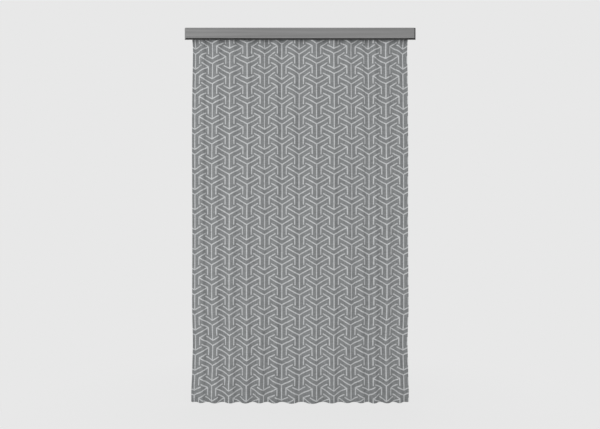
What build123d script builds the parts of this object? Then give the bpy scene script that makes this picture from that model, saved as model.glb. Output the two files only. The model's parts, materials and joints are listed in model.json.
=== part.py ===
"""A patterned curtain panel hung by gliders and hooks from a ceiling track, behind a clip-on fascia.

Millimetres. +Z is up, +X is to the right and the room is on the -Y side. The origin is the middle of the
line of ceiling screw holes, on the track's top face. Gliders run along X.
"""

import os
from math import asin, atan, cos, degrees, radians, sin

from build123d import *

# Overall sizes
overall_drop = 2580.0  # ceiling to hem, for a 2.6 m room with 20 mm left above the floor
fascia_width = 1586.0  # over both end caps
fascia_height = 80.0
fascia_depth = 12.0
fascia_bevel = 9.0  # along the lower front edge and up both ends

# Ceiling track, one aluminium extrusion
plate_thickness = 2.5
channel_inner_width = 12.0
channel_inner_height = 9.0
channel_wall = 1.5
channel_slot = 5.5
channel_centre_y = 27.0
ledge_wall = 1.5
ledge_drop = 13.0
ledge_lip_height = 6.0
ledge_front_y = -13.0
screw_hole_radius = 2.4
screw_hole_count = 4
screw_end_distance = 63.0  # last hole to the track's end

# Fascia board, one hollow extrusion hooked on the track's lip
ceiling_gap = 1.0  # the fascia stops this far under the ceiling
fascia_wall = 1.4
fascia_web_count = 2
clip_clearance = 0.3
clip_wall = 1.4

# End caps
end_cap_thickness = 10.0
end_cap_back_plate = 3.0
end_cap_lap = 1.0  # back plate below the channel
end_cap_plug_length = 14.0
plug_clearance = 0.2

# Gliders and hooks
glider_length = 9.0
glider_head_width = 10.6
glider_head_height = 3.4
glider_neck_width = 3.6
glider_neck_length = 4.4
glider_lead_in = 1.2  # chamfer at both ends of the head
glider_drop = 16.0  # ceiling to the top of the eye
glide_clearance = 0.1
eye_width = 9.4
eye_height = 9.6
eye_wall = 2.2
eye_thickness = 2.4
eye_chamfer = 2.0
hook_wall = 1.8
hook_width = 2.4
hook_top_radius = 3.0
hook_reach = 5.0  # stem to prong
hook_tip_length = 5.0
hook_foot_gap = 2.5  # pocket's mouth to the middle of the hook's foot
hook_prong_short = 2.0  # prong's end below the pocket's top
hook_clearance = 0.05

# End stops
stop_length = 8.0
stop_head_height = 5.0
stop_neck_below = 2.0  # neck under the channel
stop_gap = 3.0  # glider to end stop
stop_clearance = 0.3
stop_screw_radius = 1.5
stop_screw_head_radius = 2.6
stop_screw_head_height = 2.0
stop_screw_clearance = 0.05

# Cloth and heading tape
cloth_thickness = 1.5
cloth_top = 30.0  # below the ceiling
side_hem_width = 18.0
bottom_hem_height = 90.0
hem_thickness = 1.0  # the turned-in layer behind the cloth
side_overhang = 26.0  # cloth beyond the first and last hook
tape_height = 40.0
tape_thickness = 1.0
tape_top_margin = 3.0
pocket_height = 20.0
pocket_inner_width = 8.0
pocket_inner_depth = 2.6
pocket_wall = 0.8
pocket_clearance = 0.3
edge_radius = 40.0  # the side edges curl forward

# The folds from left to right, each from hook to hook: its share of the width, and its depth from front to back
run_end_distance = 64.0  # first and last hook to the track's ends
fold_shares = [76, 110, 106, 103, 96, 100, 134, 148, 120, 96, 89, 89, 90, 73]
fold_depths = [18, 23, 22, 22, 20, 22, 25, 27, 23, 19, 20, 22, 19, 17]

# Places worked out from the sizes above
track_length = fascia_width - 2 * end_cap_thickness
screw_hole_spacing = (track_length - 2 * screw_end_distance) / (screw_hole_count - 1)
ledge_back_y = ledge_front_y + 2 * ledge_wall + clip_wall + 2 * clip_clearance
lip_top = -plate_thickness - channel_inner_height
channel_bottom = lip_top - channel_wall
channel_outer_width = channel_inner_width + 2 * channel_wall
channel_back_y = channel_centre_y + channel_outer_width / 2
fascia_back_y = ledge_front_y - clip_clearance
fascia_front_y = fascia_back_y - fascia_depth
fascia_bottom = -ceiling_gap - fascia_height
chamber_height = (fascia_height - (fascia_web_count + 2) * fascia_wall) / (fascia_web_count + 1)
glider_run = track_length - 2 * run_end_distance
fold_widths = [glider_run * share / sum(fold_shares) for share in fold_shares]
glider_places = [sum(fold_widths[:i]) - glider_run / 2 for i in range(len(fold_widths) + 1)]
glider_bottom = lip_top + glide_clearance
stop_offset = glider_length / 2 + stop_gap + stop_length / 2
stop_places = {"left": glider_places[0] + stop_offset, "right": glider_places[-1] + stop_offset}
stop_bottom = channel_bottom - stop_neck_below
eye_centre_z = -glider_drop - eye_height / 2
eye_bar_top = -glider_drop - eye_height + eye_wall
hook_inner_radius = hook_top_radius - hook_wall / 2
hook_drop = (hook_inner_radius**2 - (eye_thickness / 2) ** 2) ** 0.5
hook_centre_z = eye_bar_top - hook_drop + hook_clearance
stem_y = channel_centre_y - hook_top_radius
prong_y = stem_y - hook_reach
pocket_front_y = prong_y - hook_wall / 2 - pocket_clearance
cloth_centre_y = pocket_front_y - tape_thickness - cloth_thickness / 2
tape_top = -cloth_top - tape_top_margin
pocket_top = tape_top - (tape_height - pocket_height) / 2
hook_foot_z = pocket_top - pocket_height - hook_foot_gap
bottom_hem_top = -overall_drop + bottom_hem_height
edge_angle = degrees(asin(side_overhang / edge_radius))
hem_start_angle = degrees(asin((side_overhang - side_hem_width) / edge_radius))


def wall(y_from, z_from, y_to, z_to):
    """One wall of a section in the YZ plane, from corner to corner."""
    with Locations(((y_from + y_to) / 2, (z_from + z_to) / 2)):
        Rectangle(abs(y_to - y_from), abs(z_to - z_from))


def save(piece, name):
    """Label a finished piece and write it."""
    piece.label = name
    export_step(piece, f"parts/{name}.step")


def fold_arcs(width, depth):
    """Radius and turn of a fold's three arcs: back from the hook, round the crest, back to the next hook."""
    turn = 2 * atan(2 * depth / width)
    radius = width / (4 * sin(turn))
    return [(radius, -degrees(turn)), (radius, 2 * degrees(turn)), (radius, -degrees(turn))]


def cloth_run(offset):
    """Arcs along the whole width of the cloth, moved off its centre towards its back."""
    hem = (edge_radius, hem_start_angle - edge_angle)
    inside_hem = (edge_radius, -hem_start_angle)
    arcs = [hem, inside_hem]
    for width, depth in zip(fold_widths, fold_depths):
        arcs += fold_arcs(width, depth)
    arcs += [inside_hem, hem]
    heading = radians(edge_angle)
    edge_y = cloth_centre_y - edge_radius * (1 - cos(heading))
    point = (
        glider_places[0] - side_overhang - offset * sin(heading),
        edge_y + offset * cos(heading),
    )
    run = []
    for radius, turn in arcs:
        moved = radius + offset if turn < 0 else radius - offset
        tangent = (cos(heading), sin(heading))
        run.append(JernArc(point, tangent, moved, turn, mode=Mode.PRIVATE))
        point = run[-1] @ 1
        heading += radians(turn)
    return run


def link(first, second):
    """A straight edge from one point to another."""
    return Line(first, second, mode=Mode.PRIVATE)


def end_cap(side):
    """A cap over one end of the fascia and of the track: side is -1 on the left and 1 on the right."""
    with BuildPart() as cap:
        with BuildSketch(Plane.YZ.offset(side * track_length / 2)):
            wall(fascia_back_y, -ceiling_gap, fascia_front_y, fascia_bottom)
        extrude(amount=side * end_cap_thickness)
        front_edges = cap.faces().sort_by(Axis.Y)[0].edges()
        lower_edge = front_edges.filter_by(Axis.X).sort_by(Axis.Z)[0]
        outer_edge = front_edges.filter_by(Axis.Z).sort_by(Axis.X)[-1 if side > 0 else 0]
        chamfer([lower_edge, outer_edge], length=fascia_bevel)
        with BuildSketch(Plane.YZ.offset(side * track_length / 2)):
            wall(fascia_back_y, -ceiling_gap, channel_back_y, channel_bottom - end_cap_lap)
        extrude(amount=side * end_cap_back_plate)
        with BuildSketch(Plane.YZ.offset(side * track_length / 2)):
            for i in range(fascia_web_count):
                top = -ceiling_gap - fascia_wall - i * (chamber_height + fascia_wall) - plug_clearance
                bottom = top - chamber_height + 2 * plug_clearance
                wall(
                    fascia_back_y - fascia_wall - plug_clearance,
                    top,
                    fascia_front_y + fascia_wall + plug_clearance,
                    bottom,
                )
        extrude(amount=-side * end_cap_plug_length)
    return cap.part


def end_stop(x):
    """A block that rests on the channel's lips, with a neck through the slot and a bore for its screw."""
    with BuildPart() as stop:
        with BuildSketch(Plane.XY.offset(lip_top)):
            with Locations((x, channel_centre_y)):
                Rectangle(stop_length, channel_inner_width - 2 * stop_clearance)
        extrude(amount=stop_head_height)
        with BuildSketch(Plane.XY.offset(stop_bottom)):
            with Locations((x, channel_centre_y)):
                Rectangle(stop_length, channel_slot - 2 * stop_clearance)
        extrude(amount=lip_top - stop_bottom)
        with Locations((x, channel_centre_y, lip_top + stop_head_height)):
            Hole(stop_screw_radius + stop_screw_clearance)
    return stop.part


def glider(x):
    """A moulded glider: a head that runs on the lips, a neck through the slot and a square eye for the hook."""
    with BuildPart() as piece:
        with BuildSketch(Plane.XZ.offset(-channel_centre_y)):
            with Locations((x, glider_bottom + glider_head_height / 2)):
                Rectangle(glider_length, glider_head_height)
        extrude(amount=glider_head_width / 2, both=True)
        upper_ends = piece.edges().filter_by(Axis.Y).group_by(Axis.Z)[-1]
        chamfer(upper_ends, length=glider_lead_in)
        with BuildSketch(Plane.XY.offset(glider_bottom)):
            with Locations((x, channel_centre_y)):
                Rectangle(glider_neck_length, glider_neck_width)
        extrude(amount=-glider_drop - glider_bottom)
        with BuildSketch(Plane.XZ.offset(-channel_centre_y)) as eye:
            with Locations((x, eye_centre_z)):
                Rectangle(eye_width, eye_height)
                chamfer(eye.vertices().group_by(Axis.Y)[0], length=eye_chamfer)
                Rectangle(eye_width - 2 * eye_wall, eye_height - 2 * eye_wall, mode=Mode.SUBTRACT)
        extrude(amount=eye_thickness / 2, both=True)
    return piece.part


def hook(x):
    """A moulded hook: a crook over the eye's lower bar, a stem, a foot and a prong up into the tape's pocket."""
    with BuildPart() as piece:
        with BuildSketch(Plane.YZ.offset(x)):
            with BuildLine():
                tip_y = channel_centre_y + hook_top_radius
                Line((tip_y, hook_centre_z - hook_tip_length), (tip_y, hook_centre_z))
                CenterArc((channel_centre_y, hook_centre_z), hook_top_radius, 0, 180)
                Polyline(
                    (stem_y, hook_centre_z),
                    (stem_y, hook_foot_z),
                    (prong_y, hook_foot_z),
                    (prong_y, pocket_top - hook_prong_short),
                )
            trace(line_width=hook_wall)
        extrude(amount=hook_width / 2, both=True)
    return piece.part


os.makedirs("parts", exist_ok=True)

# Ceiling track: plate, running channel, and the ledge with its upstanding lip
with BuildPart() as ceiling_track:
    with BuildSketch(Plane.YZ):
        wall(ledge_back_y - ledge_wall, 0, channel_back_y, -plate_thickness)
        wall(ledge_back_y - ledge_wall, 0, ledge_back_y, -ledge_drop)
        wall(ledge_front_y, -ledge_drop, ledge_back_y, -ledge_drop + ledge_wall)
        wall(ledge_front_y, -ledge_drop, ledge_front_y + ledge_wall, -ledge_drop + ledge_lip_height)
        for side in (-1, 1):
            outer_y = channel_centre_y + side * channel_outer_width / 2
            wall(outer_y - side * channel_wall, 0, outer_y, channel_bottom)
            wall(channel_centre_y + side * channel_slot / 2, lip_top, outer_y, channel_bottom)
    extrude(amount=track_length / 2, both=True)
    with GridLocations(screw_hole_spacing, 0, screw_hole_count, 1):
        Hole(screw_hole_radius, depth=plate_thickness)
save(ceiling_track.part, "ceiling_track")

# Fascia board: a hollow plank with cross webs, bevelled below, hooked over the track's lip
with BuildPart() as fascia_board:
    with BuildSketch(Plane.YZ):
        with BuildLine():
            Polyline(
                (fascia_back_y, -ceiling_gap),
                (fascia_front_y, -ceiling_gap),
                (fascia_front_y, fascia_bottom + fascia_bevel),
                (fascia_front_y + fascia_bevel, fascia_bottom),
                (fascia_back_y, fascia_bottom),
                close=True,
            )
        make_face()
        offset(amount=-fascia_wall, mode=Mode.SUBTRACT)
        for i in range(fascia_web_count):
            web_top = -ceiling_gap - fascia_wall - chamber_height - i * (chamber_height + fascia_wall)
            wall(fascia_back_y, web_top, fascia_front_y, web_top - fascia_wall)
        clip_y = ledge_front_y + ledge_wall + clip_clearance
        wall(fascia_back_y, -ceiling_gap, clip_y + clip_wall, -ceiling_gap - clip_wall)
        wall(clip_y, -ceiling_gap, clip_y + clip_wall, -ledge_drop + ledge_wall + clip_clearance)
    extrude(amount=track_length / 2, both=True)
save(fascia_board.part, "fascia_board")

save(end_cap(-1), "end_cap_left")
save(end_cap(1), "end_cap_right")
for name, place in stop_places.items():
    save(end_stop(place), f"end_stop_{name}")

# End stop screws: pan heads under the stops, shanks that press on the channel's roof
with BuildPart() as end_stop_screws:
    with BuildSketch(Plane.XY.offset(stop_bottom - stop_screw_head_height)):
        with Locations(*[(place, channel_centre_y) for place in stop_places.values()]):
            Circle(stop_screw_head_radius)
    extrude(amount=stop_screw_head_height)
    with BuildSketch(Plane.XY.offset(stop_bottom)):
        with Locations(*[(place, channel_centre_y) for place in stop_places.values()]):
            Circle(stop_screw_radius)
    extrude(amount=-plate_thickness - stop_bottom)
save(end_stop_screws.part, "end_stop_screws")

for number, place in enumerate(glider_places, start=1):
    save(glider(place), f"glider_{number:02d}")
    save(hook(place), f"hook_{number:02d}")

# Heading tape: a band sewn behind the cloth between its side hems, with a pocket behind each fold
face_run = cloth_run(-cloth_thickness / 2)
back_run = cloth_run(cloth_thickness / 2)
tape_run = cloth_run(cloth_thickness / 2 + tape_thickness)[1:-1]
with BuildPart() as heading_tape:
    with BuildSketch(Plane.XY.offset(tape_top)):
        tape_ends = [link(back_run[1] @ 0, tape_run[0] @ 0), link(back_run[-2] @ 1, tape_run[-1] @ 1)]
        make_face([*back_run[1:-1], *tape_run, *tape_ends])
    extrude(amount=-tape_height)
    with BuildSketch(Plane.XY.offset(pocket_top)):
        for place in glider_places:
            with Locations((place, pocket_front_y + pocket_inner_depth / 2)):
                Rectangle(pocket_inner_width + 2 * pocket_wall, pocket_inner_depth + 2 * pocket_wall)
                Rectangle(pocket_inner_width, pocket_inner_depth, mode=Mode.SUBTRACT)
    extrude(amount=-pocket_height)
save(heading_tape.part, "heading_tape")

# Curtain cloth: one layer in folds with its side hems turned in, and the bottom hem turned up
hem_run = cloth_run(cloth_thickness / 2 + hem_thickness)
side_ends = [link(face_run[0] @ 0, hem_run[0] @ 0), link(face_run[-1] @ 1, hem_run[-1] @ 1)]
hem_steps = [link(hem_run[0] @ 1, back_run[1] @ 0), link(back_run[-2] @ 1, hem_run[-1] @ 0)]
with BuildPart() as curtain_cloth:
    with BuildSketch(Plane.XY.offset(-cloth_top)):
        make_face([*face_run, hem_run[0], *back_run[1:-1], hem_run[-1], *side_ends, *hem_steps])
    extrude(amount=bottom_hem_top + cloth_top)
    with BuildSketch(Plane.XY.offset(bottom_hem_top)):
        make_face([*face_run, *hem_run, *side_ends])
    extrude(amount=-bottom_hem_height)
save(curtain_cloth.part, "curtain_cloth")
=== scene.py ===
"""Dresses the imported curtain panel: printed cloth, heading tape, stitching, finishes, light and camera.

Metres, in the frame of the CAD model: +Z up, the room on the -Y side, the ceiling at z = 0.
"""

import json
from math import asin, atan, cos, pi, radians, sin

import bmesh
import bpy
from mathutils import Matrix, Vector


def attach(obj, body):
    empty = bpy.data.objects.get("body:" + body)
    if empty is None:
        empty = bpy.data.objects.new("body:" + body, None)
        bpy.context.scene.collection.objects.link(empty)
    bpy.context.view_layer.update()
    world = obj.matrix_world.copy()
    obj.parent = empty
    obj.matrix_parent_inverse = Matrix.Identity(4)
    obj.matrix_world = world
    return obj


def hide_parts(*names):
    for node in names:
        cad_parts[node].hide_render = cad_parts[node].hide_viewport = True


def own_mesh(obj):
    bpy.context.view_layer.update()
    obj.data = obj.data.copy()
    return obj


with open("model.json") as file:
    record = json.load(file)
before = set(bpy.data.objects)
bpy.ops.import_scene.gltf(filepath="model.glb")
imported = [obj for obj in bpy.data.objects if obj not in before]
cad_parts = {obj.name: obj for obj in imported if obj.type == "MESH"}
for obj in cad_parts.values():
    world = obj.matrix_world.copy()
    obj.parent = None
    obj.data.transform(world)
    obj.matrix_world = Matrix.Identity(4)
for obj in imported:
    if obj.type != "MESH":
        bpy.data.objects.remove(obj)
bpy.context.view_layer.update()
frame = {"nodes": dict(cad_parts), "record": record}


def reach(name, axis):
    """Lowest and highest place of a CAD node along an axis: 0 is X, 1 is Y, 2 is Z."""
    places = [vertex.co[axis] for vertex in frame["nodes"][name].data.vertices]
    return min(places), max(places)


# Sizes that the CAD model shares
FOLD_DEPTHS = [0.018, 0.023, 0.022, 0.022, 0.020, 0.022, 0.025]
FOLD_DEPTHS += [0.027, 0.023, 0.019, 0.020, 0.022, 0.019, 0.017]
EDGE_RADIUS, EDGE_OVERHANG = 0.040, 0.026  # the curve of each side edge, and its reach past the last hook
SIDE_HEM, BOTTOM_HEM = 0.018, 0.090
CAD_CLOTH_HALF = 0.00075
TAPE_THICK = 0.001
POCKET_TOP, POCKET_BOTTOM, POCKET_DEPTH = -0.043, -0.063, 0.0034

# Places read from the CAD model
HOOK_PLACES = [sum(reach(name, 0)) / 2 for name in sorted(frame["nodes"]) if name.startswith("hook_")]
CLOTH_BOTTOM, CLOTH_TOP = reach("curtain_cloth", 2)
TAPE_BOTTOM, TAPE_TOP = reach("heading_tape", 2)
CLOTH_Y = reach("heading_tape", 1)[1] - POCKET_DEPTH - TAPE_THICK - CAD_CLOTH_HALF  # its middle, at the hooks

FOLD_WIDTHS = [end - start for start, end in zip(HOOK_PLACES, HOOK_PLACES[1:])]
LEFT_EDGE, RIGHT_EDGE = HOOK_PLACES[0] - EDGE_OVERHANG, HOOK_PLACES[-1] + EDGE_OVERHANG
EDGE_TURN = asin(EDGE_OVERHANG / EDGE_RADIUS)

# The cloth itself
CLOTH_THICK = 0.0005
LAYER_STEP = 0.0008  # from one layer of a hem to the next

# How the cloth hangs
LOOSE_FROM, LOOSE_BY = -0.10, -0.60  # heights between which it leaves the straight line of the tape
SWAY = [(0.0014, 9, 2.1, 0), (0.0012, 23, -3.7, 1)]  # sideways waves: height, then sin(a x + b z + c)
DEEPEN = [(0.0016, 7, 2.6, 0), (0.0012, -13, 5.9, 2)]  # the same for how far a fold's front moves
FULL_FOLD = 0.022  # depth at which a fold's front moves by the whole of those waves
DIP_FROM, HEM_DIP = -2.40, 0.004  # where the bottom starts to dip in front of each fold, and by how much
CORNER_LIFT, LIFT_IN, LIFT_UP = 0.006, 0.012, 0.04  # each bottom corner's lift, and its reach in and up
CORNER_FROM, CORNER_TO = 0.045, 0.020  # between these distances from a side, the bottom hem moves behind
HEM_BULGE = 0.0004  # how round a turned edge stands out

# How far each side edge drifts to the right at each height, from the top down
LEFT_DRIFT = [(-0.07, 0.0), (-0.13, 0.005), (-0.50, 0.002), (-0.90, 0.0)]
LEFT_DRIFT += [(-1.90, -0.002), (-2.18, 0.004), (-2.35, 0.0), (-2.50, -0.006)]
RIGHT_DRIFT = [(-0.07, 0.0), (-0.13, -0.006), (-0.50, -0.001), (-0.90, 0.002)]
RIGHT_DRIFT += [(-1.90, 0.003), (-2.18, -0.006), (-2.35, -0.002), (-2.50, 0.002)]

# How finely the meshes are divided
ARC_STEPS = 5
CLOTH_ROWS, BAND_ROWS = 65, 5
TURN_STEPS, SIDE_HEM_STEPS, BOTTOM_HEM_STEPS = 4, 4, 5

# The print: how the tripods repeat
PRINT_PITCH = 0.1389  # from one tripod to the next above it
PRINT_CENTRE = (-0.6085, -0.2413)  # one tripod's middle, as hung
PRINT_LINE = 0.0072
PRINT_BLUR = 0.0008  # how far the ink's edge fades, to each side
ARM_GAP = 0.25  # share of the pitch between an arm's end and the next tripod's middle
CHEVRON = 0.365  # share of the pitch that each chevron's leg is long

# Woven patterns, as sizes across and down. Real sateen has threads 0.3 mm apart and slubs 0.5 mm thick, both
# too fine to show, so the threads are drawn three times and the slubs ten times as coarse.
THREAD_PITCH = 0.0009
WEFT_SLUB, WARP_SLUB = (0.030, 0.005), (0.0045, 0.040)
CLOUD = (0.35, 0.6)
TAPE_RIB, TAPE_STREAK = 0.0007, (0.040, 0.0015)
THREAD_TWIST = 0.0011

# Patterns on metal and plastic, as sizes along X, Y and Z. Brushed lines are drawn ten times as coarse as
# real ones, which are 0.1 mm apart and too fine to show.
FASCIA_BRUSH = (0.67, 0.0011, 0.0011)
TRACK_BRUSH = (0.50, 0.0014, 0.0014)
SCREW_BRUSH = (0.0025, 0.0025, 0.025)
DIE_LINE = (1.0, 0.033, 0.016)
MOULD_CLOUD = 0.017


def srgb(text):
    """Linear colour of a hex value."""
    parts = [int(text[i : i + 2], 16) / 255 for i in (1, 3, 5)]
    return (*[p / 12.92 if p < 0.04045 else ((p + 0.055) / 1.055) ** 2.4 for p in parts], 1.0)


def fill(tree, node, inputs):
    """Give a node's inputs plain values or links. A node as a value stands for its first output in use."""
    for key, value in inputs.items():
        if isinstance(value, bpy.types.Node):
            value = next(socket for socket in value.outputs if socket.enabled)
        if isinstance(value, bpy.types.NodeSocket):
            tree.links.new(value, node.inputs[key])
        else:
            node.inputs[key].default_value = value


def add(tree, kind, inputs=(), **settings):
    """Add a node with its settings, and fill its inputs: a dict by name, or values in the inputs' order."""
    made = tree.nodes.new(kind)
    for name, value in settings.items():
        setattr(made, name, value)
    if not isinstance(inputs, dict):
        in_use = [place for place, socket in enumerate(made.inputs) if socket.enabled]
        inputs = dict(zip(in_use, inputs))
    fill(tree, made, inputs)
    return made


def new_material(name):
    """A material with its node tree and its Principled shader."""
    made = bpy.data.materials.new(name)
    made.use_nodes = True
    return made, made.node_tree, made.node_tree.nodes["Principled BSDF"]


def placed(name, data):
    """A new object in the scene."""
    made = bpy.data.objects.new(name, data)
    bpy.context.scene.collection.objects.link(made)
    return made


# Camera

CAMERA_DISTANCE = 4.2  # from the ceiling screws' line
CAMERA_X, CAMERA_Z = -0.0010, -1.2823
VIEW_WIDTH = 4.140  # what the picture shows across, at the cloth
SENSOR_WIDTH = 36  # in millimetres

camera = placed("camera", bpy.data.cameras.new("camera"))
camera.location = (CAMERA_X, -CAMERA_DISTANCE, CAMERA_Z)
camera.rotation_euler = (radians(90), 0, 0)
camera.data.sensor_width = SENSOR_WIDTH
camera.data.lens = SENSOR_WIDTH * CAMERA_DISTANCE / VIEW_WIDTH
camera.data.clip_end = 100
bpy.context.scene.camera = camera


# Print


def from_tripod(tree, flat):
    """Place in pitches from the middle of the nearest tripod. The middles form a triangular lattice."""
    half = (3**0.5 / 2, 0.5, 1)
    low = tuple(-side for side in half)
    centred = add(tree, "ShaderNodeVectorMath", (flat, (*PRINT_CENTRE, 0)), operation="SUBTRACT")
    scale = (1 / PRINT_PITCH, 1 / PRINT_PITCH, 0)
    place = add(tree, "ShaderNodeVectorMath", (centred, scale), operation="MULTIPLY")
    moved = add(tree, "ShaderNodeVectorMath", (place, (half[0], half[1], 0)), operation="SUBTRACT")
    first = add(tree, "ShaderNodeVectorMath", (place, half, low), operation="WRAP")
    second = add(tree, "ShaderNodeVectorMath", (moved, half, low), operation="WRAP")
    to_first = add(tree, "ShaderNodeVectorMath", (first,), operation="LENGTH")
    to_second = add(tree, "ShaderNodeVectorMath", (second,), operation="LENGTH")
    second_nearer = add(tree, "ShaderNodeMath", (to_second, to_first), operation="LESS_THAN")
    return add(tree, "ShaderNodeMix", (second_nearer, first, second), data_type="VECTOR")


def folded_wedge(tree, cell, normal):
    """The tripod's cell folded by its mirror lines into one wedge of 60 degrees: nodes for its x and y."""
    # left onto right, then what lies below the arm at 30 degrees over that arm, then left onto right again
    right = add(tree, "ShaderNodeVectorMath", (cell,), operation="ABSOLUTE")
    right = add(tree, "ShaderNodeVectorMath", (right, (1, 0, 0)), operation="MULTIPLY")
    upright = add(tree, "ShaderNodeVectorMath", (cell, (0, 1, 0)), operation="MULTIPLY")
    wedge = add(tree, "ShaderNodeVectorMath", (right, upright), operation="ADD")
    beyond = add(tree, "ShaderNodeVectorMath", (wedge, normal), operation="DOT_PRODUCT")
    beyond = add(tree, "ShaderNodeMath", (beyond, 0.0), operation="MINIMUM")
    back = add(tree, "ShaderNodeVectorMath", (normal, beyond), operation="SCALE")
    turned = add(tree, "ShaderNodeVectorMath", (wedge, back), operation="SUBTRACT")
    turned = add(tree, "ShaderNodeVectorMath", (turned, back), operation="SUBTRACT")
    split = add(tree, "ShaderNodeSeparateXYZ", (turned,))
    return add(tree, "ShaderNodeMath", (split.outputs["X"],), operation="ABSOLUTE"), split.outputs["Y"]


def print_lines(tree, flat):
    """1 on the print's lines, 0 off them: tripods whose arms end in chevrons round the next one's middle."""
    normal, along = (-0.5, 3**0.5 / 2, 0), (3**0.5 / 2, 0.5, 0)  # of the arm at 30 degrees
    side, height = folded_wedge(tree, from_tripod(tree, flat), normal)
    folded = add(tree, "ShaderNodeCombineXYZ", (side, height))
    # distance from the tripod's own arm
    own_arm = add(tree, "ShaderNodeVectorMath", (folded, normal), operation="DOT_PRODUCT")
    own_arm = add(tree, "ShaderNodeMath", (own_arm,), operation="ABSOLUTE")
    # distance from the arm of the tripod above, which comes down and ends short of this one's middle
    above = add(tree, "ShaderNodeMath", (height, ARM_GAP), operation="SUBTRACT")
    above = add(tree, "ShaderNodeMath", (above, 0.0), operation="MINIMUM")
    next_arm = add(tree, "ShaderNodeCombineXYZ", (side, above))
    next_arm = add(tree, "ShaderNodeVectorMath", (next_arm,), operation="LENGTH")
    # distance from the chevron's leg, which leaves that end alongside the own arm
    from_end = add(tree, "ShaderNodeVectorMath", (folded, (0, ARM_GAP, 0)), operation="SUBTRACT")
    run = add(tree, "ShaderNodeVectorMath", (from_end, along), operation="DOT_PRODUCT")
    on_leg = add(tree, "ShaderNodeMath", (run, 0.0), operation="MAXIMUM")
    on_leg = add(tree, "ShaderNodeMath", (on_leg, CHEVRON), operation="MINIMUM")
    past = add(tree, "ShaderNodeMath", (run, on_leg), operation="SUBTRACT")
    off = add(tree, "ShaderNodeVectorMath", (from_end, normal), operation="DOT_PRODUCT")
    chevron = add(tree, "ShaderNodeCombineXYZ", (past, off))
    chevron = add(tree, "ShaderNodeVectorMath", (chevron,), operation="LENGTH")
    nearest = add(tree, "ShaderNodeMath", (own_arm, next_arm), operation="MINIMUM")
    nearest = add(tree, "ShaderNodeMath", (nearest, chevron), operation="MINIMUM")
    inner, outer = ((PRINT_LINE / 2 + blur) / PRINT_PITCH for blur in (-PRINT_BLUR, PRINT_BLUR))
    limits = {"Value": nearest, "From Min": inner, "From Max": outer, "To Min": 1.0, "To Max": 0.0}
    return add(tree, "ShaderNodeMapRange", limits, interpolation_type="SMOOTHSTEP")


# Finishes of the soft pieces


def weave(tree, flat, pitch):
    """Height of a plain weave with that thread spacing: threads pass over and under each other in turn."""
    split = add(tree, "ShaderNodeSeparateXYZ", (flat,))
    crests = []
    for name in ("X", "Y"):
        turns = add(tree, "ShaderNodeMath", (split.outputs[name], pi / pitch), operation="MULTIPLY")
        crests.append(add(tree, "ShaderNodeMath", (turns,), operation="SINE"))
    across, down = crests
    crossed = add(tree, "ShaderNodeMath", (across, down, across), operation="MULTIPLY_ADD")
    return add(tree, "ShaderNodeMath", (crossed,), operation="ABSOLUTE")


def slubs(tree, flat, across, down):
    """Uneven thickness of the yarn, as streaks of that size."""
    place = add(tree, "ShaderNodeVectorMath", (flat, (1 / across, 1 / down, 0)), operation="MULTIPLY")
    return add(tree, "ShaderNodeTexNoise", {"Vector": place, "Scale": 1.0, "Detail": 3.0})


def toned(tree, colour, patterns, base):
    """A colour, or a pattern of colours, made lighter or darker by base plus each pattern times its share."""
    tone = base
    for pattern, share in patterns:
        tone = add(tree, "ShaderNodeMath", (pattern, share, tone), operation="MULTIPLY_ADD")
    return add(tree, "ShaderNodeVectorMath", (colour, tone), operation="SCALE")


def cloth_material(name, ground, line):
    """Cotton and polyester sateen, woven and printed: matt ink on uneven yarn, with a faint sheen."""
    made, tree, shader = new_material(name)
    flat = add(tree, "ShaderNodeUVMap", uv_map="flat")
    ink = print_lines(tree, flat)
    printed = add(tree, "ShaderNodeMix", (ink, srgb(ground), srgb(line)), data_type="RGBA")
    weft, warp, cloud = (slubs(tree, flat, *size) for size in (WEFT_SLUB, WARP_SLUB, CLOUD))
    relief = add(tree, "ShaderNodeMath", (weft, warp), operation="ADD")
    threads = weave(tree, flat, THREAD_PITCH)
    relief = add(tree, "ShaderNodeMath", (threads, 0.5, relief), operation="MULTIPLY_ADD")
    bump = add(tree, "ShaderNodeBump", {"Height": relief, "Strength": 0.25, "Distance": 0.0004})
    shade = toned(tree, printed, [(weft, 0.70), (warp, 0.55), (cloud, 0.06)], base=0.345)
    fill(tree, shader, {"Base Color": shade, "Normal": bump, "Roughness": 0.85, "Specular IOR Level": 0.2})
    fill(tree, shader, {"Sheen Weight": 0.08, "Sheen Roughness": 0.5})
    return made


def tape_material(name, colour):
    """Polyester heading tape, woven: off-white, ribbed across, with a slight gloss on the filaments."""
    made, tree, shader = new_material(name)
    flat = add(tree, "ShaderNodeUVMap", uv_map="flat")
    streaks = slubs(tree, flat, *TAPE_STREAK)
    relief = add(tree, "ShaderNodeMath", (weave(tree, flat, TAPE_RIB), streaks), operation="ADD")
    bump = add(tree, "ShaderNodeBump", {"Height": relief, "Strength": 0.4, "Distance": 0.0004})
    shade = toned(tree, srgb(colour)[:3], [(streaks, 0.16)], base=0.90)
    fill(tree, shader, {"Base Color": shade, "Normal": bump, "Roughness": 0.6})
    return made


# Finishes of the hard pieces and the thread


def grain(tree, sizes, detail=2.0):
    """Uneven pattern fixed to the piece, of that size along X, Y and Z."""
    place = add(tree, "ShaderNodeTexCoord").outputs["Object"]
    scale = tuple(1 / size for size in sizes)
    place = add(tree, "ShaderNodeVectorMath", (place, scale), operation="MULTIPLY")
    return add(tree, "ShaderNodeTexNoise", {"Vector": place, "Scale": 1.0, "Detail": detail})


def thread_material(name, colour):
    """Polyester thread, spun: grey and matt, lighter and darker as it twists."""
    made, tree, shader = new_material(name)
    shade = toned(tree, srgb(colour)[:3], [(grain(tree, (THREAD_TWIST,) * 3), 0.3)], base=0.8)
    fill(tree, shader, {"Base Color": shade, "Roughness": 0.7})
    return made


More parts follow.
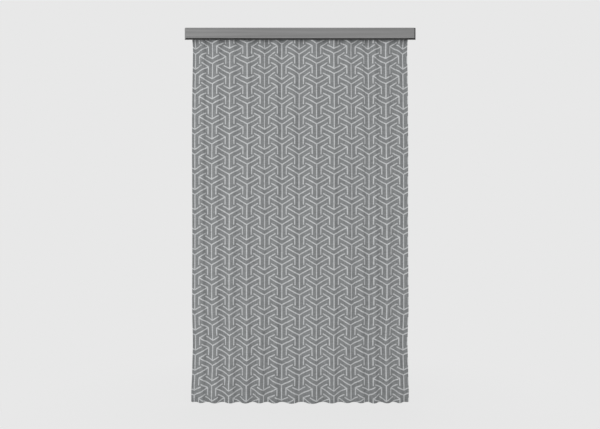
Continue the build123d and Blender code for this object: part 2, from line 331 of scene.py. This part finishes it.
def metal_material(name, colour, roughness, brush, die_lines):
    """Metal, extruded or drawn: fine brushed lines, broad lines left by the die, and a soft gloss.

    The die lines are plainest at the left end, and fade from fade_from to fade_to along X.
    """
    scratch, gloss_spread = 0.05, 0.16
    fade_from, fade_to, faded = -0.8, 0.2, 0.3
    made, tree, shader = new_material(name)
    lines = grain(tree, brush, 4.0)
    broad = add(tree, "ShaderNodeMath", (grain(tree, DIE_LINE), 0.5), operation="SUBTRACT")
    place = add(tree, "ShaderNodeSeparateXYZ", (add(tree, "ShaderNodeTexCoord").outputs["Object"],))
    fade = {"Value": place, "From Min": fade_from, "From Max": fade_to}
    strength = add(tree, "ShaderNodeMapRange", fade | {"To Min": die_lines, "To Max": faded * die_lines})
    drawn = add(tree, "ShaderNodeMath", (broad, strength, 1.0), operation="MULTIPLY_ADD")
    brushed = add(tree, "ShaderNodeMath", (lines, 2 * scratch, 1 - scratch), operation="MULTIPLY_ADD")
    tone = add(tree, "ShaderNodeMath", (brushed, drawn), operation="MULTIPLY")
    shade = add(tree, "ShaderNodeVectorMath", (srgb(colour)[:3], tone), operation="SCALE")
    smoothest = roughness - gloss_spread / 2
    polish = add(tree, "ShaderNodeMath", (lines, gloss_spread, smoothest), operation="MULTIPLY_ADD")
    bump = add(tree, "ShaderNodeBump", {"Height": lines, "Strength": 0.12, "Distance": 0.0002})
    fill(tree, shader, {"Base Color": shade, "Roughness": polish, "Normal": bump, "Metallic": 0.9})
    return made


def plastic_material(name, colour, roughness, grit, metallic=0.0):
    """Plastic, moulded in a spark-eroded tool: a fine grit that breaks up the highlight."""
    made, tree, shader = new_material(name)
    speckle, cloud = grain(tree, (grit,) * 3), grain(tree, (MOULD_CLOUD,) * 3)
    bump = add(tree, "ShaderNodeBump", {"Height": speckle, "Strength": 0.15, "Distance": 0.0002})
    shade = toned(tree, srgb(colour)[:3], [(speckle, 0.05), (cloud, 0.05)], base=0.95)
    fill(tree, shader, {"Base Color": shade, "Normal": bump, "Roughness": roughness, "Metallic": metallic})
    return made


# Ink on the face, and the same ink seen weakly through the cloth on the back
cloth_face = cloth_material("printed_sateen_face", "#848687", "#C4C6C7")
cloth_reverse = cloth_material("printed_sateen_reverse", "#9A9B9B", "#B4B5B5")
tape_finish = tape_material("woven_polyester_tape", "#DEDCD6")
thread = thread_material("spun_polyester_thread", "#7C7E80")

FINISHES = {
    # anodised grey over long die lines: satin, with a broad gleam that runs along the board
    "fascia": metal_material("anodised_aluminium_grey", "#8E8E8E", 0.42, FASCIA_BRUSH, 1.4),
    # anodised without dye: brighter and a little smoother
    "track": metal_material("anodised_aluminium_natural", "#C9CACC", 0.35, TRACK_BRUSH, 0.5),
    # moulded and lacquered in the metal's grey, so that the caps match the board
    "end_cap": plastic_material("lacquered_abs_grey", "#8C8C8C", 0.35, 0.0012, 0.85),
    # plain moulded ABS: off-white, half matt
    "end_stop": plastic_material("abs_white", "#DAD9D4", 0.4, 0.0010),
    # acetal is the slipperiest of the plastics, and the glossiest
    "glider": plastic_material("acetal_white", "#E4E3DD", 0.3, 0.0014),
    # nylon: a warmer white
    "hook": plastic_material("nylon_white", "#E0DED6", 0.35, 0.0012),
    # bright zinc plating on turned steel
    "screw": metal_material("zinc_plated_steel", "#B9BCC0", 0.28, SCREW_BRUSH, 0.3),
}
for row in frame["record"]["subparts"]:
    if row["material_slot"] in FINISHES:
        node = frame["nodes"][row["node"]]
        node.data.materials.clear()
        node.data.materials.append(FINISHES[row["material_slot"]])


# Cloth


def between(start, end, share):
    """Value at that share of the way from start to end."""
    return start + (end - start) * share


def ramp(value, start, end):
    """Share of the way from start to end at which a value lies, held to 0 before and 1 beyond."""
    return min(max((value - start) / (end - start), 0), 1)


def drift(z, keys):
    """Smooth value at a height, between (height, value) pairs from the top down."""
    value = keys[0][1]
    for (high, start), (low, end) in zip(keys, keys[1:]):
        share = ramp(z, high, low)
        value += (end - start) * share * share * (3 - 2 * share)
    return value


def waves(rows, x, z):
    """Sum of slow waves over the hanging cloth."""
    return sum(height * sin(a * x + b * z + c) for height, a, b, c in rows)


def section():
    """Places across the cloth from edge to edge, along its tangent arcs: x, y and the cloth's heading."""
    arcs = [(-EDGE_RADIUS, -EDGE_TURN)]
    for width, depth in zip(FOLD_WIDTHS, FOLD_DEPTHS):
        turn = 2 * atan(2 * depth / width)
        radius = width / (4 * sin(turn))
        arcs += [(-radius, -turn), (radius, turn), (radius, turn), (-radius, -turn)]
    arcs.append((-EDGE_RADIUS, -EDGE_TURN))
    x, y, heading = LEFT_EDGE, CLOTH_Y - EDGE_RADIUS * (1 - cos(EDGE_TURN)), EDGE_TURN
    places = [(x, y, heading)]
    for radius, turn in arcs:
        for i in range(1, ARC_STEPS + 1):
            turned = heading + turn * i / ARC_STEPS
            px = x + radius * (sin(turned) - sin(heading))
            places.append((px, y - radius * (cos(turned) - cos(heading)), turned))
        x, y, heading = places[-1]
    return places


PLACES = section()


def from_edge(distance, from_left):
    """Place on the arc of one side edge, that far in along it: x, y and heading."""
    turned = EDGE_TURN - distance / EDGE_RADIUS
    run = EDGE_RADIUS * (sin(EDGE_TURN) - sin(turned))
    y = CLOTH_Y - EDGE_RADIUS * (1 - cos(turned))
    return (LEFT_EDGE + run, y, turned) if from_left else (RIGHT_EDGE - run, y, -turned)


def hang(x, y, z):
    """Where a point of the straight cloth comes to rest: edges drift, folds wander, the hem dips in front."""
    shift = between(drift(z, LEFT_DRIFT), drift(z, RIGHT_DRIFT), ramp(x, LEFT_EDGE, RIGHT_EDGE))
    loose = ramp(z, LOOSE_FROM, LOOSE_BY)
    shift += loose * waves(SWAY, x, z)
    forward = (CLOTH_Y - y) / FULL_FOLD
    y += loose * waves(DEEPEN, x, z) * forward
    z -= HEM_DIP * ramp(z, DIP_FROM, CLOTH_BOTTOM) ** 2 * max(forward, 0)
    return x + shift, y, z


def offset(place, z, out):
    """A place of the section at height z, as it hangs, moved out from the cloth's middle towards the back."""
    x, y, heading = place
    x, y, z = hang(x, y, z)
    return x - sin(heading) * out, y + cos(heading) * out, z


def turned_track(count, hem, steps):
    """Rows or columns of a sheet with a hem turned behind: (place, distance into the hem, layer) each."""
    straight = [(i, 0.0, 0.0) for i in range(count)]
    turn = [(count - 1, 0.0, i / TURN_STEPS) for i in range(1, TURN_STEPS + 1)]
    behind = [(count - 1, hem * i / steps, 1.0) for i in range(1, steps + 1)]
    return straight + turn + behind


LEFT_TRACK = [(0, hem, layer) for _, hem, layer in reversed(turned_track(1, SIDE_HEM, SIDE_HEM_STEPS)[1:])]
COLUMNS = LEFT_TRACK + turned_track(len(PLACES), SIDE_HEM, SIDE_HEM_STEPS)
ROWS = turned_track(CLOTH_ROWS, BOTTOM_HEM, BOTTOM_HEM_STEPS)


def cloth_place(row, column):
    """A point of the cloth, with its hems turned behind."""
    i, inward, side_layer = COLUMNS[column]
    j, up, bottom_layer = ROWS[row]
    from_left = i == 0
    place = from_edge(inward, from_left) if inward > 0 else PLACES[i]
    z = between(CLOTH_TOP, CLOTH_BOTTOM, j / (CLOTH_ROWS - 1))
    edge_gap = min(place[0] - LEFT_EDGE, RIGHT_EDGE - place[0])
    # at a corner the bottom hem's two layers lie behind the side hem's two, turned the other way round
    at_corner = ramp(edge_gap, CORNER_FROM, CORNER_TO) if side_layer == 0 else 1.0
    layer = side_layer + bottom_layer * (1 + 2 * at_corner * (1 - side_layer))
    lift = CORNER_LIFT * ramp(edge_gap, LIFT_IN, 0) ** 2 * ramp(z, CLOTH_BOTTOM + LIFT_UP, CLOTH_BOTTOM)
    x, y, z = offset(place, z + up + lift, LAYER_STEP * layer)
    side_round, bottom_round = sin(pi * side_layer), sin(pi * bottom_layer)
    bulge = HEM_BULGE * (side_round + bottom_round)
    return x - (bulge if from_left else -bulge) * side_round, y, z - bulge * bottom_round


def cloth_flat(row, column):
    """Flat place of a point of the cloth, across as hung and down as hung; hems carry on past the edges."""
    i, inward, _ = COLUMNS[column]
    j, up, _ = ROWS[row]
    z = between(CLOTH_TOP, CLOTH_BOTTOM, j / (CLOTH_ROWS - 1))
    return PLACES[i][0] + (-inward if i == 0 else inward), z - up


def woven_mesh(name, rows, columns, place, flat, material):
    """A sheet of quads with its flat UV map; place and flat are functions of a row and a column."""
    mesh = bmesh.new()
    layer = mesh.loops.layers.uv.new("flat")
    points = [[mesh.verts.new(place(r, c)) for c in range(columns)] for r in range(rows)]
    for r in range(rows - 1):
        for c in range(columns - 1):
            corners = [(r, c), (r + 1, c), (r + 1, c + 1), (r, c + 1)]
            face = mesh.faces.new([points[i][j] for i, j in corners])
            face.smooth = True
            for loop, corner in zip(face.loops, corners):
                loop[layer].uv = flat(*corner)
    piece = placed(name, bpy.data.meshes.new(name))
    mesh.to_mesh(piece.data)
    mesh.free()
    piece.data.materials.append(material)
    return piece


def thicken(piece, thickness):
    """Give a sheet its thickness, half to each side."""
    wall = piece.modifiers.new("thickness", "SOLIDIFY")
    wall.thickness = thickness
    wall.offset = 0
    return wall


curtain = woven_mesh("curtain_panel", len(ROWS), len(COLUMNS), cloth_place, cloth_flat, cloth_face)
curtain.data.materials.append(cloth_reverse)
cloth_wall = thicken(curtain, CLOTH_THICK)
cloth_wall.material_offset = 1  # the back shows the reverse of the print
cloth_wall.material_offset_rim = 0


# Heading tape

BAND_WALL, POCKET_WALL = 0.0007, 0.0006
# One pocket's loop from its left seam to its middle: place across it, and share of its depth
HALF_LOOP = [(-0.0058, 0.0), (-0.0050, 0.55), (-0.0040, 0.95)]
POCKET_LOOP = [*HALF_LOOP, (0.0, 1.0), *[(-across, share) for across, share in reversed(HALF_LOOP)]]
POCKET_BELLY = 0.06  # how much deeper a pocket is half-way down
POCKET_STRETCH = 1.6  # the loop's woven length as a multiple of its width

TAPED_PLACES = [place for place in PLACES if LEFT_EDGE + SIDE_HEM < place[0] < RIGHT_EDGE - SIDE_HEM]


def tape_band():
    """The flat band of the tape, one layer behind the cloth, between the side hems."""
    out = CAD_CLOTH_HALF + TAPE_THICK / 2

    def place(row, column):
        x, y, heading = TAPED_PLACES[column]
        return x - sin(heading) * out, y + cos(heading) * out, flat(row, column)[1]

    def flat(row, column):
        return TAPED_PLACES[column][0], between(TAPE_TOP, TAPE_BOTTOM, row / (BAND_ROWS - 1))

    band = woven_mesh("heading_tape_band", BAND_ROWS, len(TAPED_PLACES), place, flat, tape_finish)
    thicken(band, BAND_WALL)
    return band


def pocket(number, x):
    """One woven pocket: a strip that stands off the band, open above and below."""
    base = CLOTH_Y + CAD_CLOTH_HALF + TAPE_THICK
    depth = POCKET_DEPTH - POCKET_WALL / 2

    def place(row, column):
        across, share = POCKET_LOOP[column]
        belly = 1 + POCKET_BELLY * sin(pi * row / (BAND_ROWS - 1))
        return x + across, base + depth * share * belly, flat(row, column)[1]

    def flat(row, column):
        down = between(POCKET_TOP, POCKET_BOTTOM, row / (BAND_ROWS - 1))
        return x + POCKET_LOOP[column][0] * POCKET_STRETCH, down

    strip = woven_mesh(f"tape_pocket_{number:02d}", BAND_ROWS, len(POCKET_LOOP), place, flat, tape_finish)
    thicken(strip, POCKET_WALL)
    return strip


def applied(piece):
    """The piece as a plain mesh with its modifiers worked in."""
    graph = bpy.context.evaluated_depsgraph_get()
    data = bpy.data.meshes.new_from_object(piece.evaluated_get(graph))
    piece.modifiers.clear()
    piece.data = data
    return piece


def joined(name, pieces, material):
    """One mesh made of several."""
    mesh = bmesh.new()
    for piece in pieces:
        mesh.from_mesh(applied(piece).data)
        bpy.data.objects.remove(piece)
    made = placed(name, bpy.data.meshes.new(name))
    mesh.to_mesh(made.data)
    mesh.free()
    made.data.materials.append(material)
    return made


tape_parts = [tape_band(), *[pocket(number, x) for number, x in enumerate(HOOK_PLACES, start=1)]]
bpy.context.view_layer.update()
heading_tape = joined("heading_tape_woven", tape_parts, tape_finish)


# Stitches

STITCH_SIZES = {"Pitch": 0.0040, "Length": 0.0030, "Thickness": 0.0006}
PROUD = STITCH_SIZES["Thickness"] / 2  # how far a stitch's middle stands off the cloth
TAPE_PROUD = 0.0001  # the same on the back of the tape, where the thread sinks in
SIDE_ROW_IN = 0.0155  # from the side edge to the side hem's stitches
END_GAP = 0.004  # from the ends of the side hems to their first and last stitch
ROW_IN = 0.003  # from an edge of the tape or the bottom hem to its stitches
ROW_SKIP = 3  # places of the section that the bottom hem's stitches leave out at each side
SIDE_ROW_STEPS = 120


def stitch_tree():
    """A tree that lays stitches along the lines it is given, and the identifiers of its sizes by name."""
    tree = bpy.data.node_groups.new("stitches", "GeometryNodeTree")
    tree.interface.new_socket("Lines", in_out="INPUT", socket_type="NodeSocketGeometry")
    keys = {}
    for name, value in STITCH_SIZES.items():
        socket = tree.interface.new_socket(name, in_out="INPUT", socket_type="NodeSocketFloat")
        socket.default_value = value
        keys[name] = socket.identifier
    tree.interface.new_socket("Stitches", in_out="OUTPUT", socket_type="NodeSocketGeometry")
    given = add(tree, "NodeGroupInput").outputs
    curve = add(tree, "GeometryNodeMeshToCurve", {0: given["Lines"]})
    places = add(tree, "GeometryNodeResampleCurve", {0: curve, "Length": given["Pitch"]}, mode="LENGTH")
    tangent = add(tree, "GeometryNodeInputTangent")
    aimed = add(tree, "FunctionNodeAlignRotationToVector", {"Vector": tangent}, axis="Z")
    shape = add(tree, "GeometryNodeMeshIcoSphere", {"Radius": 0.5, "Subdivisions": 1})
    size = add(tree, "ShaderNodeCombineXYZ", (given["Thickness"], given["Thickness"], given["Length"]))
    laying = {"Points": places, "Instance": shape, "Rotation": aimed, "Scale": size}
    laid = add(tree, "GeometryNodeInstanceOnPoints", laying)
    real = add(tree, "GeometryNodeRealizeInstances", {0: laid})
    painted = add(tree, "GeometryNodeSetMaterial", {"Geometry": real, "Material": thread})
    add(tree, "NodeGroupOutput", {0: painted})
    return tree, keys


STITCHES, STITCH_KEYS = stitch_tree()


def stitched(name, lines):
    """Rows of stitches along polylines, as a plain mesh."""
    points, edges = [], []
    for line in lines:
        edges += [(len(points) + i, len(points) + i + 1) for i in range(len(line) - 1)]
        points += line
    piece = placed(name, bpy.data.meshes.new(name))
    piece.data.from_pydata(points, edges, [])
    modifier = piece.modifiers.new("stitches", "NODES")
    modifier.node_group = STITCHES
    for size, value in STITCH_SIZES.items():
        modifier[STITCH_KEYS[size]] = value
    bpy.context.view_layer.update()
    return applied(piece)


def seam_across(places, z, out):
    """A row of stitches across the cloth at one height."""
    return [offset(place, z, out) for place in places]


def seam_down(place, out):
    """A row of stitches down the cloth at one place of its section."""
    top, bottom = CLOTH_TOP - END_GAP, CLOTH_BOTTOM + END_GAP
    heights = [between(top, bottom, i / SIDE_ROW_STEPS) for i in range(SIDE_ROW_STEPS + 1)]
    return [offset(place, z, out) for z in heights]


hem_faces = (-PROUD, LAYER_STEP + PROUD)
side_rows = [from_edge(SIDE_ROW_IN, from_left) for from_left in (True, False)]
inner_places = PLACES[ROW_SKIP:-ROW_SKIP]
hem_lines = [seam_down(place, out) for place in side_rows for out in hem_faces]
hem_lines += [seam_across(inner_places, CLOTH_BOTTOM + BOTTOM_HEM - ROW_IN, out) for out in hem_faces]
hem_stitches = stitched("hem_stitches", hem_lines)

tape_faces = (-PROUD, CAD_CLOTH_HALF + TAPE_THICK + TAPE_PROUD)
tape_rows = (TAPE_TOP - ROW_IN, TAPE_BOTTOM + ROW_IN)
tape_lines = [seam_across(TAPED_PLACES, z, out) for z in tape_rows for out in tape_faces]
tape_stitches = stitched("tape_stitches", tape_lines)


# Bodies

for piece in (curtain, heading_tape, hem_stitches, tape_stitches):
    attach(piece, "root")
    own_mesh(piece)
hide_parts("curtain_cloth")
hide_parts("heading_tape")


# Floor, backdrop and light

FLOOR_Z = CLOTH_BOTTOM - 0.020
FLOOR_HALF = 12
BACKGROUND = "#E8E8E8"
CARD_FRONT, CARD_BACK = -3, 1.5  # along Y
CARD_LOW, CARD_LOW_HALF = -2.55, 2.5
CARD_RIGHT, CARD_RIGHT_BOTTOM, CARD_RIGHT_TOP = 2.6, -2.5, 2


def floor_material(name, colour):
    """Matt paint, rolled on: even pale grey to the camera, with the object's soft shadow round its foot."""
    shadow_near, shadow_far, shadow_keep = 0.6, 1.6, 0.93
    oval = (0.8, 1, 0)  # the shadow reaches further along the panel than away from it
    made, tree, shader = new_material(name)
    fill(tree, shader, {"Base Color": srgb(colour), "Roughness": 1.0, "Specular IOR Level": 0.0})
    even = add(tree, "ShaderNodeEmission", {"Color": srgb(BACKGROUND), "Strength": 1.0})
    place = add(tree, "ShaderNodeTexCoord").outputs["Object"]
    away = add(tree, "ShaderNodeVectorMath", (place, oval), operation="MULTIPLY")
    away = add(tree, "ShaderNodeVectorMath", (away,), operation="LENGTH")
    span = {"Value": away, "From Min": shadow_near, "From Max": shadow_far}
    evened = add(tree, "ShaderNodeMapRange", span | {"To Min": shadow_keep, "To Max": 1.0})
    ray = add(tree, "ShaderNodeLightPath").outputs
    shown = add(tree, "ShaderNodeMath", (ray["Is Camera Ray"], ray["Is Glossy Ray"]), operation="MAXIMUM")
    share = add(tree, "ShaderNodeMath", (shown, evened), operation="MULTIPLY")
    both = add(tree, "ShaderNodeMixShader", (share, shader, even))
    fill(tree, tree.nodes["Material Output"], {"Surface": both})
    return made


def card(name, corners, material):
    """A flat four-cornered piece of the stage."""
    made = placed(name, bpy.data.meshes.new(name))
    made.data.from_pydata(corners, [], [(0, 1, 2, 3)])
    made.data.materials.append(material)
    return made


def level_corners(left, right, front, back, z):
    """Corners of a level rectangle, in order round it."""
    return [(left, front, z), (right, front, z), (right, back, z), (left, back, z)]


floor_corners = level_corners(-FLOOR_HALF, FLOOR_HALF, -FLOOR_HALF, FLOOR_HALF, FLOOR_Z)
card("floor", floor_corners, floor_material("pale_matt_paint", "#CECECE"))

# Black cards below and to the right, which only the metal's gloss sees: they give its edges their dark lines
velvet, velvet_tree, velvet_shader = new_material("black_velvet")
fill(velvet_tree, velvet_shader, {"Base Color": srgb("#101010"), "Specular IOR Level": 0.0})
low_corners = level_corners(-CARD_LOW_HALF, CARD_LOW_HALF, CARD_FRONT, CARD_BACK, CARD_LOW)
right_corners = [
    (CARD_RIGHT, CARD_FRONT, CARD_RIGHT_BOTTOM),
    (CARD_RIGHT, CARD_BACK, CARD_RIGHT_BOTTOM),
    (CARD_RIGHT, CARD_BACK, CARD_RIGHT_TOP),
    (CARD_RIGHT, CARD_FRONT, CARD_RIGHT_TOP),
]
for name, corners in (("card_below", low_corners), ("card_right", right_corners)):
    black = card(name, corners, velvet)
    black.visible_camera = False
    black.visible_diffuse = False
    black.visible_shadow = False

# One soft square lamp from the left, in front
KEY_PLACE, KEY_AIM = Vector((-2.9, -4.6, -1.6)), Vector((0, 0, -1.5))
KEY_SIZE, KEY_POWER = 2.4, 62
key = placed("key", bpy.data.lights.new("key", "AREA"))
key.data.shape = "SQUARE"
key.data.size = KEY_SIZE
key.data.energy = KEY_POWER
key.location = KEY_PLACE
key.rotation_euler = (KEY_AIM - KEY_PLACE).to_track_quat("-Z", "Y").to_euler()
key.visible_glossy = False  # the metal shows the even studio, not the lamp

# An even white studio, which the camera sees as the background's grey
world = bpy.data.worlds.new("studio")
bpy.context.scene.world = world
world.use_nodes = True
studio = world.node_tree
fill(studio, studio.nodes["Background"], {"Color": srgb("#FFFFFF"), "Strength": 1.0})
backdrop = add(studio, "ShaderNodeBackground", {"Color": srgb(BACKGROUND), "Strength": 1.0})
camera_ray = add(studio, "ShaderNodeLightPath").outputs["Is Camera Ray"]
seen = add(studio, "ShaderNodeMixShader", (camera_ray, studio.nodes["Background"], backdrop))
fill(studio, studio.nodes["World Output"], {"Surface": seen})

bpy.context.scene.view_settings.view_transform = "Standard"
